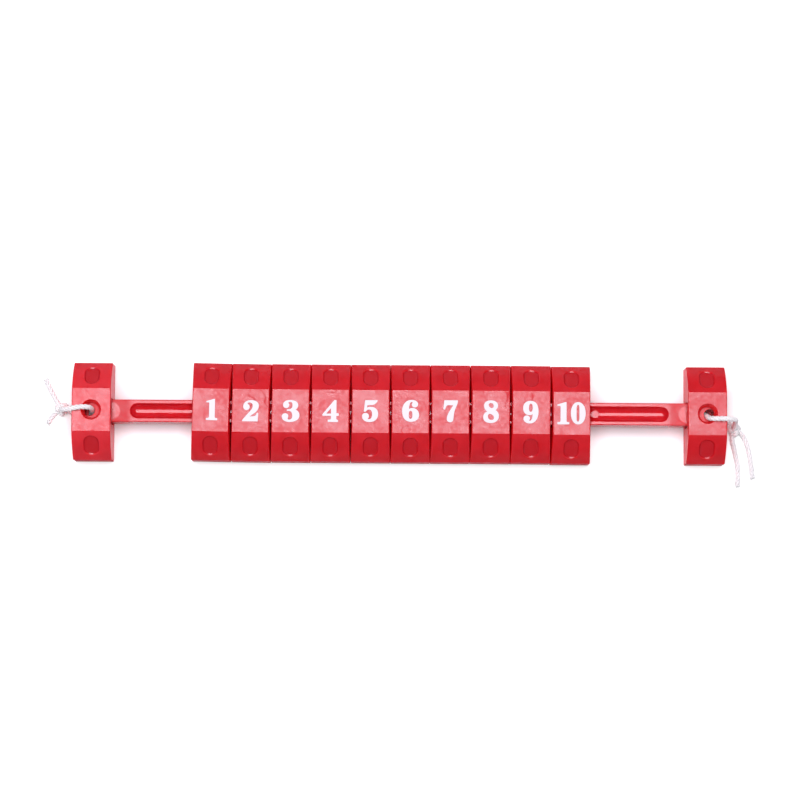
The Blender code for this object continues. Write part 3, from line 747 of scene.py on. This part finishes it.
def shoulder_panel(body, side, base, face):
    """One round shoulder with its finger dimple, as rings from the panel's border inwards."""
    middle = math.acos(DIMPLE_Y / SHOULDER_RADIUS)

    def along(angle):
        return SHOULDER_RADIUS * (middle - angle)

    def reach(angle):
        z = CENTRE_Z + SHOULDER_RADIUS * math.sin(angle)
        return half_length(z, base, face) - END_ROUND

    steps = [k / SHOULDER_STEPS for k in range(SHOULDER_STEPS + 1)]
    angles = [WALL_ANGLE + (FACE_ANGLE - WALL_ANGLE) * s for s in steps]
    border = [(along(WALL_ANGLE), s * reach(WALL_ANGLE)) for s in STATIONS[:-1]]
    border += [(along(t), reach(t)) for t in angles[:-1]]
    border += [(along(FACE_ANGLE), -s * reach(FACE_ANGLE)) for s in STATIONS[:-1]]
    border += [(along(t), -reach(t)) for t in reversed(angles[1:])]

    def place(a, b, height):
        angle = middle - a / SHOULDER_RADIUS
        out = SHOULDER_RADIUS + height
        return (b, side * out * math.cos(angle), CENTRE_Z + out * math.sin(angle))

    def floor_share(a):
        """The dimple's floor is nearly flat, so it is shallower towards the ends."""
        flat = (SHOULDER_RADIUS - DIMPLE_DEPTH) / math.cos(FLOOR_CURVE * a / SHOULDER_RADIUS)
        return max(0.0, (SHOULDER_RADIUS - flat) / DIMPLE_DEPTH)

    # (offset from the rim, height, share of the way from the border to it, share of its size)
    outer, inner = DIMPLE_WALL[0], DIMPLE_WALL[-1]
    levels = [(outer.x, 0.0, way, 1.0) for way in (0.0, 0.35, 0.7)]
    levels += [(offset, height, 1.0, 1.0) for offset, height in DIMPLE_WALL]
    levels += [(inner.x, inner.y, 1.0, size) for size in (0.66, 0.33)]
    rings = []
    for offset, height, way, size in levels:
        length, width = DIMPLE_LENGTH + 2 * offset, DIMPLE_WIDTH + 2 * offset
        ring = []
        for a, b in border:
            far = math.hypot(a, b)
            rim = to_stadium(a / far, b / far, length, width)
            scale = (far + (rim - far) * way) / far * size
            ring.append(place(a * scale, b * scale, height * floor_share(a * scale)))
        rings.append(ring)
    made = add_rows(body, rings, wrap=True)
    centre = body.verts.new(place(0, 0, inner.y))
    last = made[-1]
    for i, corner in enumerate(last):
        body.faces.new((corner, last[(i + 1) % len(last)], centre))


def shell(name, low, base, face, material):
    """A block or bead without its holes, its middle at x = 0."""
    body = bmesh.new()
    loop = outline(low)
    count = len(loop)

    def row(index):
        y, z, _, _ = loop[index % count]
        reach = half_length(z, base, face) - END_ROUND
        return [(s * reach, y, z) for s in STATIONS]

    stretches = [
        range(0, SHOULDER_FIRST + 1),
        range(SHOULDER_LAST, count - SHOULDER_LAST),
        range(count - 1 - SHOULDER_FIRST, count + 1),
    ]
    for stretch in stretches:
        add_rows(body, [row(i) for i in stretch])
    for side in (1, -1):
        shoulder_panel(body, side, base, face)
    for end in (-1, 1):
        rings = []
        for k in range(END_STEPS + 1):
            turn = math.pi / 2 * k / END_STEPS
            inset = END_ROUND * (1 - math.cos(turn))
            ring = []
            for y, z, ny, nz in loop:
                y, z = y - inset * ny, z - inset * nz
                reach = half_length(z, base, face) - END_ROUND * (1 - math.sin(turn))
                ring.append((end * reach, y, z))
            rings.append(ring)
        made = add_rows(body, rings, wrap=True)[-1]
        bend = FOOT_STEPS + 1
        body.faces.new(made[bend : count - bend])
        body.faces.new(made[count - bend - 1 :] + made[: bend + 1])
    return as_object(name, body, material)


def box_ring(x, half_y, low, high, radius, grow=0.0, steps=4):
    """A rounded rectangle in Y and Z, grown outwards, at x or at what x gives for each height."""
    x_of = x if callable(x) else lambda z: x
    ring = []
    for quarter, (sy, sz) in enumerate(((1, 1), (-1, 1), (-1, -1), (1, -1))):
        centre = (sy * (half_y - radius), (high - radius) if sz > 0 else (low + radius))
        for k in range(steps + 1):
            turn = math.pi / 2 * (quarter + k / steps)
            y = centre[0] + (radius + grow) * math.cos(turn)
            z = centre[1] + (radius + grow) * math.sin(turn)
            ring.append((x_of(z), y, z))
    return ring


def slot_cutter():
    """The bead's slot for the bar, with rounded mouths."""
    half = BAR_HIGH.y + SLOT_CLEAR
    low, high = BAR_LOW.z - SLOT_CLEAR, BAR_HIGH.z + SLOT_CLEAR
    mouth = [(-END_ROUND + END_ROUND * math.sin(t), END_ROUND * (1 - math.cos(t)))
             for t in SLOT_MOUTH_TURNS]
    mouth.append((0.5 * MM, 2 * END_ROUND))
    rings = []
    for end in (-1, 1):
        for out, grow in mouth if end > 0 else reversed(mouth):
            def x_of(z, end=end, out=out):
                return end * (half_length(z, BEAD_BASE_HALF, BEAD_FACE_HALF) + out)
            rings.append(box_ring(x_of, half, low, high, SLOT_ROUND, grow))
    return loft("slot_cutter", rings)


def bead_spans():
    """Where each bead starts and ends along the bar, almost touching its neighbours."""
    boxes = [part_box(node) for node in BEADS]
    joins = []
    for number, (one, two) in enumerate(zip(boxes, boxes[1:]), start=1):
        turn = math.radians(BEAD_SKEWS.get(number, 0) - BEAD_SKEWS.get(number + 1, 0))
        clear = BEAD_TOUCH + abs(turn) * HALF_WIDTH / 2
        middle = (one[1].x + two[0].x) / 2
        joins.append((middle - clear, middle + clear))
    starts = [boxes[0][0].x, *[join[1] for join in joins]]
    ends = [*[join[0] for join in joins], boxes[-1][1].x]
    return list(zip(starts, ends))


def place_on_bead(thing, number, x, y, z):
    """Put a piece in its bead's frame, which is a little askew and off the middle."""
    start, end = SPANS[number - 1]
    turn = math.radians(BEAD_SKEWS.get(number, 0))
    middle = Vector(((start + end) / 2, BEAD_DRIFTS.get(number, 0) * MM, 0))
    offset = Vector((x, y, z))
    offset.rotate(Euler((0, 0, turn)))
    thing.location = middle + offset
    thing.rotation_euler = (0, 0, turn)


def make_beads():
    material = red_plastic("bead_plastic", HEIGHT - 0.1 * MM, (0.17, 0.43)).material
    first = shell("bead", BEAD_LOW.z, BEAD_BASE_HALF, BEAD_FACE_HALF, material)
    carve(first, [slot_cutter()])
    for number, node in enumerate(BEADS, start=1):
        start, end = SPANS[number - 1]
        bead = in_scene(f"{node}_moulding", first.data)
        place_on_bead(bead, number, 0, 0, 0)
        bead.scale.x = (end - start) / (2 * BEAD_BASE_HALF)
        weigh_normals(bead)
        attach(bead, node)
        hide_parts(node)
    bpy.data.objects.remove(first, do_unlink=True)


def make_block(side, dull, end_rough, painted_light_tone):
    """An end block; side is -1 for the left one and 1 for the right one."""
    half = (BLOCK_HIGH.x - BLOCK_LOW.x) / 2
    word = "right" if side > 0 else "left"
    hole_at = side * (HOLE_AT - BLOCK_MIDDLE)
    # painted_light_tone paints light and shade into the red: lighter and pinker for the left block,
    # deeper for the right, for light that falls more on the left.
    graph = red_plastic(f"block_plastic_{word}", HEIGHT - 0.1 * MM, (0.20, 0.42), dull,
                        painted_light_tone=painted_light_tone, end_rough=end_rough, hole_at=hole_at)
    block = shell(f"end_block_{word}_moulding", 0.0, half, half, graph.material)
    low, high = BAR_LOW.z - SOCKET_CLEAR, BAR_HIGH.z + SOCKET_CLEAR

    wide = RIM_RADIUS + 0.7 * MM
    rim = rounded([
        (RIM_FLOOR_RADIUS, high - 0.3 * MM),
        (RIM_FLOOR_RADIUS, high),
        (RIM_RADIUS, HEIGHT),
        (wide, HEIGHT + LIP),
    ], 0.12 * MM)
    rim.append((wide, HEIGHT + MM))

    wide = HOLE_RADIUS + 0.6 * MM
    back = rounded([(wide, -LIP), (HOLE_RADIUS, 0), (HOLE_RADIUS, high - 0.5 * MM)], 0.25 * MM)
    back.insert(0, (wide, -MM))

    # (distance from the block's middle, how far the socket has widened), from the bottom outwards
    deep = BAR_HIGH.x + 0.3 * MM - BLOCK_MIDDLE
    flare = 0.28 * MM
    mouth = [(deep, 0), (0.25 * MM - half, 0), (0.06 * MM - half, 0.06 * MM), (-half - LIP, flare),
             (-half - MM, flare)]
    across = BAR_HIGH.y + SOCKET_CLEAR
    socket = [box_ring(side * x, across, low, high, 0.3 * MM, grow) for x, grow in mouth]
    wide = CHANNEL_WIDTH / 2
    channel = [box_ring(side * x, wide, -MM, CHANNEL_DEPTH, wide * 0.95) for x in (0, half + MM)]
    carve(block, [
        loft("socket_cutter", socket),
        lathe("rim_cutter", rim, hole_at),
        lathe("back_cutter", back, hole_at),
        loft("channel_cutter", channel),
    ])
    block.location = (side * BLOCK_MIDDLE, 0, 0)
    weigh_normals(block)
    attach(block, "root")
    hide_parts(f"end_block_{word}")


# --- bar ----------------------------------------------------------------------------------------


def groove_wall():
    """(offset from the groove's edge, height) from the flat face down to the groove's middle."""
    radius = (GROOVE_HALF_WIDTH**2 + GROOVE_DEPTH**2) / (2 * GROOVE_DEPTH)
    above = radius - GROOVE_DEPTH
    out = [(0.2 * MM, 0.0), (0.1 * MM, -0.006 * MM), (0.03 * MM, -0.05 * MM)]
    for k in range(1, GROOVE_STEPS):
        across = GROOVE_HALF_WIDTH * math.cos(math.pi / 2 * k / GROOVE_STEPS)
        out.append((across - GROOVE_HALF_WIDTH, above - math.sqrt(radius**2 - across**2)))
    return out


def bar_section(x, inset=0.0):
    """The bar's rounded outline at x."""
    low, high = BAR_LOW.z + inset, BAR_HIGH.z - inset
    return box_ring(x, BAR_HIGH.y - inset, low, high, BAR_ROUND - inset * 0.5)


def make_bar():
    """The bar: rounded long edges, a grooved panel on the face and the back, and cord holes."""
    bar = loft("bar_moulding", [
        bar_section(-BAR_HIGH.x, BAR_BEVEL),
        bar_section(-BAR_HIGH.x + BAR_BEVEL),
        bar_section(BAR_HIGH.x - BAR_BEVEL),
        bar_section(BAR_HIGH.x, BAR_BEVEL),
    ], bar_plastic())
    cutters = [groove_cutter(up) for up in (True, False)]
    for side in (-1, 1):
        wide = BAR_HOLE_RADIUS + 0.5 * MM
        hole = rounded([
            (wide, BAR_LOW.z - LIP), (BAR_HOLE_RADIUS, BAR_LOW.z),
            (BAR_HOLE_RADIUS, BAR_HIGH.z), (wide, BAR_HIGH.z + LIP),
        ], 0.08 * MM)
        profile = [(wide, BAR_LOW.z - MM), *hole, (wide, BAR_HIGH.z + MM)]
        cutters.append(lathe("cord_hole_cutter", profile, side * (HOLE_AT + BAR_HOLE_OUT)))
        mark = [
            (EJECTOR_RADIUS - LIP, BAR_HIGH.z - EJECTOR_DEPTH),
            (EJECTOR_RADIUS, BAR_HIGH.z),
            (EJECTOR_RADIUS, BAR_HIGH.z + MM),
        ]
        cutters.append(lathe("ejector_cutter", mark, side * BLOCK_LOW.x))
    carve(bar, cutters)
    top = BAR_HIGH.z - PIN_MARK_DEPTH
    pin = [(radius * MM, top + height * MM) for radius, height in PIN_MARK_PROFILE]
    carve(bar, [lathe("pin_mark", pin, PIN_MARK_X)], "UNION")
    weigh_normals(bar)
    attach(bar, "root")
    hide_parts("bar")


def groove_cutter(up):
    """A solid that fills the groove, from above the face down to its round bottom."""
    straight = GROOVE_HALF_LENGTH - GROOVE_HALF_WIDTH
    surface, sign = (BAR_HIGH.z, 1) if up else (BAR_LOW.z, -1)
    steps = range(GROOVE_END_STEPS + 1)
    turns = [math.pi * k / GROOVE_END_STEPS - math.pi / 2 for k in steps]
    wall = [(0.35 * MM, MM), (0.35 * MM, 0.01 * MM), *groove_wall()[1:]]
    rings = []
    for offset, height in wall:
        radius = GROOVE_HALF_WIDTH + offset
        ring = []
        for end in (1, -1):
            for t in turns:
                x = end * (straight + radius * math.cos(t))
                ring.append((x, end * radius * math.sin(t), surface + sign * height))
        rings.append(ring)
    return loft("groove_cutter", rings)


# --- numerals -----------------------------------------------------------------------------------


def add_outline(curve, path, scale, shift):
    """One closed outline from M, L, C and Z steps on the numeral grid."""
    tokens = path.split()
    points, i = [], 0
    while i < len(tokens):
        step = tokens[i]
        count = {"M": 2, "L": 2, "C": 6, "Z": 0}[step]
        numbers = [float(n) for n in tokens[i + 1 : i + 1 + count]]
        pairs = [Vector((x, y, 0)) * scale + shift for x, y in zip(numbers[::2], numbers[1::2])]
        i += 1 + count
        if step in "ML":
            points.append([None, pairs[0], None])
        elif step == "C":
            points[-1][2] = pairs[0]
            points.append([pairs[1], pairs[2], None])
    if (points[0][1] - points[-1][1]).length < 1e-7:
        points[0][0] = points.pop()[0]
    spline = curve.splines.new("BEZIER")
    spline.bezier_points.add(len(points) - 1)
    spline.use_cyclic_u = True
    for k, (before, at, after) in enumerate(points):
        knot = spline.bezier_points[k]
        knot.handle_left_type = knot.handle_right_type = "FREE"
        knot.co = at
        previous, following = points[k - 1][1], points[(k + 1) % len(points)][1]
        knot.handle_left = before if before is not None else at.lerp(previous, 1 / 3)
        knot.handle_right = after if after is not None else at.lerp(following, 1 / 3)


def make_numeral(number, ink):
    """The number printed on a bead, as a very thin solid."""
    node = BEADS[number - 1]
    word = str(number)
    scale = NUMERAL_HEIGHT * NUMERAL_SCALES.get(number, 1.0) / GRID_HEIGHT
    width = sum(GLYPHS[c][0] for c in word) + NUMERAL_GAP * (len(word) - 1)
    curve = bpy.data.curves.new(f"numeral_{number:02d}", "CURVE")
    curve.dimensions = "2D"
    curve.fill_mode = "BOTH"
    curve.extrude = INK_THICKNESS
    curve.resolution_u = 8
    x = -width / 2
    for c in word:
        for path in GLYPHS[c][1]:
            add_outline(curve, path, scale, Vector((x, -GRID_HEIGHT / 2, 0)) * scale)
        x += GLYPHS[c][0] + NUMERAL_GAP
    drawn = in_scene(curve.name, curve)
    mesh = applied_mesh(drawn)
    bpy.data.objects.remove(drawn, do_unlink=True)
    body = bmesh.new()
    body.from_mesh(mesh)
    bpy.data.meshes.remove(mesh)
    numeral = as_object(f"numeral_{number:02d}", body, ink)
    numeral.data.set_sharp_from_angle(angle=NUMERAL_SHARP_FROM)
    across, up = PRINT_SHIFTS[number]
    place_on_bead(numeral, number, across * MM, up * MM, HEIGHT)
    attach(numeral, node)


# --- cords --------------------------------------------------------------------------------------


def smooth_line(points, steps=16):
    """Points close together on a smooth curve through the given ones."""
    padded = [2 * points[0] - points[1], *points, 2 * points[-1] - points[-2]]
    fine = []
    for a, b, c, d in zip(padded, padded[1:], padded[2:], padded[3:]):
        for k in range(steps):
            t = k / steps
            fine.append(
                0.5 * (2 * b + (c - a) * t + (2 * a - 5 * b + 4 * c - d) * t**2
                       + (3 * b - a - 3 * c + d) * t**3)
            )
    return fine + [points[-1]]


def evenly(line, spacing):
    lengths = [0.0]
    for a, b in zip(line, line[1:]):
        lengths.append(lengths[-1] + (b - a).length)
    count = max(2, round(lengths[-1] / spacing) + 1)
    out, i = [], 0
    for k in range(count):
        want = lengths[-1] * k / (count - 1)
        while i < len(line) - 2 and lengths[i + 1] < want:
            i += 1
        share = (want - lengths[i]) / max(lengths[i + 1] - lengths[i], 1e-12)
        out.append(line[i].lerp(line[i + 1], min(max(share, 0.0), 1.0)))
    return out


def frames_along(line):
    """(point, side, up) along a line, with as little twist as the line allows."""
    out = []
    side = None
    for i, p in enumerate(line):
        ahead = (line[min(i + 1, len(line) - 1)] - line[max(i - 1, 0)]).normalized()
        if side is None:
            side = ahead.orthogonal().normalized()
        side = (side - ahead * side.dot(ahead)).normalized()
        out.append((p, side, ahead.cross(side)))
    return out


def sweep(body, line, radius, sides):
    """A capped tube along a line; radius is a number for each point."""
    turns = [2 * math.pi * k / sides for k in range(sides)]
    rings = []
    for (p, side, up), r in zip(frames_along(line), radius):
        rings.append([p + (side * math.cos(t) + up * math.sin(t)) * r for t in turns])
    add_tube(body, rings)


STRANDS = 3
STRAND_RADIUS = 0.39 * MM
STRAND_ORBIT = 0.34 * MM
STRAND_SIDES = 10
TWIST_PITCH = 3.6 * MM
CORD_SPACING = 0.25 * MM
KNOT_SIZE = 0.46 * MM
KNOT_POINTS = 90


def add_strands(body, line):
    """Three strands twisted together along a line."""
    frames = frames_along(line)
    step = (line[1] - line[0]).length
    for strand in range(STRANDS):
        path = []
        for i, (p, side, up) in enumerate(frames):
            turn = 2 * math.pi * (i * step / TWIST_PITCH + strand / STRANDS)
            path.append(p + (side * math.cos(turn) + up * math.sin(turn)) * STRAND_ORBIT)
        sweep(body, path, [STRAND_RADIUS] * len(path), STRAND_SIDES)


FRAY_FIBRES = 14
FRAY_POINTS = 6
FRAY_SIDES = 5
FRAY_LENGTH = 1.5 * MM
FRAY_RADIUS = 0.055 * MM
FRAY_LOWEST = 0.1 * MM


def add_fray(body, tip, before, seed):
    """Loose fibres that splay from a cut end, none lower than the table."""
    dice = random.Random(seed)
    ahead = (tip - before).normalized()
    side = ahead.orthogonal().normalized()
    up = ahead.cross(side)
    for _ in range(FRAY_FIBRES):
        turn = dice.uniform(0, 2 * math.pi)
        outward = side * math.cos(turn) + up * math.sin(turn)
        reach = FRAY_LENGTH * dice.uniform(0.5, 1.0)
        splay = dice.uniform(0.1, 0.7)
        root = tip - ahead * 0.4 * MM + outward * dice.uniform(0.1, 0.6) * MM
        fibre, radius = [], []
        for k in range(FRAY_POINTS):
            t = k / (FRAY_POINTS - 1)
            point = root + ahead * reach * t + outward * reach * splay * t**2
            point.z = max(point.z - 0.2 * MM * t, FRAY_LOWEST)
            fibre.append(point)
            radius.append(FRAY_RADIUS * (1 - 0.6 * t))
        sweep(body, fibre, radius, FRAY_SIDES)


def make_cord(word, side, route, white):
    line = smooth_line([Vector((side * u, y, z)) * MM for u, y, z in route])
    line = evenly(line, CORD_SPACING)
    body = bmesh.new()
    add_strands(body, line)
    add_fray(body, line[0], line[8], f"{word} a")
    add_fray(body, line[-1], line[-9], f"{word} b")
    cord = as_object(f"tie_cord_{word}", body, white)
    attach(cord, "root")
    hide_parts(f"cord_loop_{word}", f"cord_tail_{word}_a", f"cord_tail_{word}_b")
    knot = make_knot(word, white)
    length = sum((b - a).length for a, b in zip(line, line[1:]))
    [tuple(p) for p in line]


def make_knot(word, white):
    """A tight overhand knot."""
    low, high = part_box(f"knot_{word}")
    centre = (low + high) / 2
    line = []
    for k in range(KNOT_POINTS):
        t = 2 * math.pi * k / KNOT_POINTS
        at = Vector((math.sin(t) + 2 * math.sin(2 * t), math.cos(t) - 2 * math.cos(2 * t),
                     -1.3 * math.sin(3 * t)))
        line.append(centre + at * KNOT_SIZE)
    line.append(line[0].copy())
    body = bmesh.new()
    add_strands(body, line)
    knot = as_object(f"overhand_knot_{word}", body, white)
    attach(knot, "root")
    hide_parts(f"knot_{word}")
    return knot


SPANS = bead_spans()


def main():
    add_camera()
    add_lights()
    add_floor()
    white = white_cord()
    make_cord("left", -1, LEFT_ROUTE, white)
    make_cord("right", 1, RIGHT_ROUTE, white)
    make_beads()
    # Painted light and shade: the left block's red is painted lighter and pinker, the right block's
    # deeper, for light that falls more on the left.
    make_block(-1, dull=0.50, end_rough=0.29, painted_light_tone=(1.12, 1.9, 1.7))
    make_block(1, dull=0.38, end_rough=0.37, painted_light_tone=(1.0, 0.9, 0.9))
    make_bar()
    ink = white_ink()
    for number in range(1, len(BEADS) + 1):
        make_numeral(number, ink)


main()
